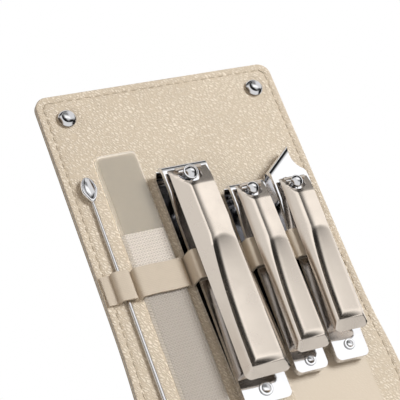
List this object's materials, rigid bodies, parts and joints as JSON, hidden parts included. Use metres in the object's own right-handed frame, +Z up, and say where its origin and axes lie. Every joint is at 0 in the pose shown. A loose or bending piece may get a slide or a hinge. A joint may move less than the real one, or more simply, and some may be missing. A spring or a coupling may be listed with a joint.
{
  "type": "manicure set case",
  "caption": "Fold-over leather manicure case opened flat, with snap studs and an elastic strap that holds an ear pick, a glass nail file and lever nail clippers.",
  "frame": {"origin": "on the case's underside, in the middle of its length and width when it lies open and flat", "axes": "+X across the case to the right, +Y along the case towards the tool panel's free edge, +Z up, out of the lining"},
  "size_m": [0.082, 0.2532, 0.0151],
  "materials": {
    "outer_leather": "fine pebble grain, semi-matte",
    "lining": "fine pebble grain, semi-matte",
    "board": "matte",
    "snap_metal": "polished",
    "strap": "ribbed elastic weave",
    "pick_metal": "polished",
    "file_glass": "frosted with clear ground edges",
    "arm_metal": "mirror polished",
    "lever_metal": "satin champagne plating"
  },
  "bodies": {
    "base": {"outer_leather_base": "outer_leather", "board_base": "board", "lining_base": "lining", "snap_studs": "snap_metal", "stud_rivets": "snap_metal", "elastic_strap": "strap"},
    "spine": {"outer_leather_spine": "outer_leather", "lining_spine": "lining"},
    "cover": {"outer_leather_cover": "outer_leather", "board_cover": "board", "lining_cover": "lining"},
    "shoulder": {"outer_leather_shoulder": "outer_leather", "lining_shoulder": "lining"},
    "flap": {"outer_leather_flap": "outer_leather", "lining_flap": "lining", "snap_sockets": "snap_metal", "snap_caps": "snap_metal"},
    "ear_pick": {"ear_pick": "pick_metal"},
    "nail_file": {"nail_file": "file_glass"},
    "large_clipper": {"large_lower_arm": "arm_metal", "large_tail_rivet": "arm_metal", "large_post": "arm_metal"},
    "large_upper_arm": {"large_upper_arm": "arm_metal"},
    "large_lever": {"large_lever": "lever_metal"},
    "medium_clipper": {"medium_lower_arm": "arm_metal", "medium_tail_rivet": "arm_metal", "medium_post": "arm_metal"},
    "medium_upper_arm": {"medium_upper_arm": "arm_metal"},
    "medium_lever": {"medium_lever": "lever_metal"},
    "slant_clipper": {"slant_lower_arm": "arm_metal", "slant_tail_rivet": "arm_metal", "slant_post": "arm_metal"},
    "slant_upper_arm": {"slant_upper_arm": "arm_metal"},
    "slant_lever": {"slant_lever": "lever_metal"}
  },
  "joints": [
    {"name": "spine_fold", "type": "hinge", "parent": "base", "child": "spine", "pos_m": [0, 0.0086, 0.003], "axis": [1, 0, 0], "range_deg": [-90, 0]},
    {"name": "cover_fold", "type": "hinge", "parent": "spine", "child": "cover", "pos_m": [0, -0.00541, 0.003], "axis": [1, 0, 0], "range_deg": [-90, 0]},
    {"name": "shoulder_fold", "type": "hinge", "parent": "cover", "child": "shoulder", "pos_m": [0, -0.09446, 0.003], "axis": [1, 0, 0], "range_deg": [-45, 0]},
    {"name": "flap_fold", "type": "hinge", "parent": "shoulder", "child": "flap", "pos_m": [0, -0.1126, 0], "axis": [1, 0, 0], "range_deg": [0, 45]},
    {"name": "ear_pick_slide", "type": "slide", "parent": "base", "child": "ear_pick", "axis": [0, 1, 0], "range_m": [0, 0.017]},
    {"name": "nail_file_slide", "type": "slide", "parent": "base", "child": "nail_file", "axis": [0, 1, 0], "range_m": [0, 0.055]},
    {"name": "large_clipper_slide", "type": "slide", "parent": "base", "child": "large_clipper", "axis": [0, 1, 0], "range_m": [0, 0.055]},
    {"name": "large_lever_lift", "type": "hinge", "parent": "large_clipper", "child": "large_lever", "pos_m": [-0.0052, 0.08999, 0.0126], "axis": [-1, 0, 0], "range_deg": [0, 100]},
    {"name": "large_jaw_squeeze", "type": "hinge", "parent": "large_clipper", "child": "large_upper_arm", "pos_m": [-0.0052, 0.02259, 0.006], "axis": [-1, 0, 0], "range_deg": [0, 0.85], "stiffness_Nm_per_rad": 20},
    {"name": "medium_clipper_slide", "type": "slide", "parent": "base", "child": "medium_clipper", "axis": [0.0175, 0.9998, 0], "range_m": [0, 0.055]},
    {"name": "medium_lever_lift", "type": "hinge", "parent": "medium_clipper", "child": "medium_lever", "pos_m": [0.01299, 0.08119, 0.0116], "axis": [-0.9998, 0.0175, 0], "range_deg": [0, 100]},
    {"name": "medium_jaw_squeeze", "type": "hinge", "parent": "medium_clipper", "child": "medium_upper_arm", "pos_m": [0.01205, 0.02749, 0.0056], "axis": [-0.9998, 0.0175, 0], "range_deg": [0, 1.05], "stiffness_Nm_per_rad": 20},
    {"name": "slant_clipper_slide", "type": "slide", "parent": "base", "child": "slant_clipper", "axis": [0.0349, 0.9994, 0], "range_m": [0, 0.02]},
    {"name": "slant_lever_lift", "type": "hinge", "parent": "slant_clipper", "child": "slant_lever", "pos_m": [0.0282, 0.08046, 0.0116], "axis": [-0.9994, 0.0349, 0], "range_deg": [0, 100]},
    {"name": "slant_jaw_squeeze", "type": "hinge", "parent": "slant_clipper", "child": "slant_upper_arm", "pos_m": [0.0264, 0.02919, 0.0056], "axis": [-0.9994, 0.0349, 0], "range_deg": [0, 0.9], "stiffness_Nm_per_rad": 20}
  ],
  "couplings": [
    {"joint": "cover_fold", "follows": "spine_fold", "ratio": 1},
    {"joint": "shoulder_fold", "follows": "spine_fold", "ratio": 0.5},
    {"joint": "flap_fold", "follows": "spine_fold", "ratio": -0.5}
  ]
}
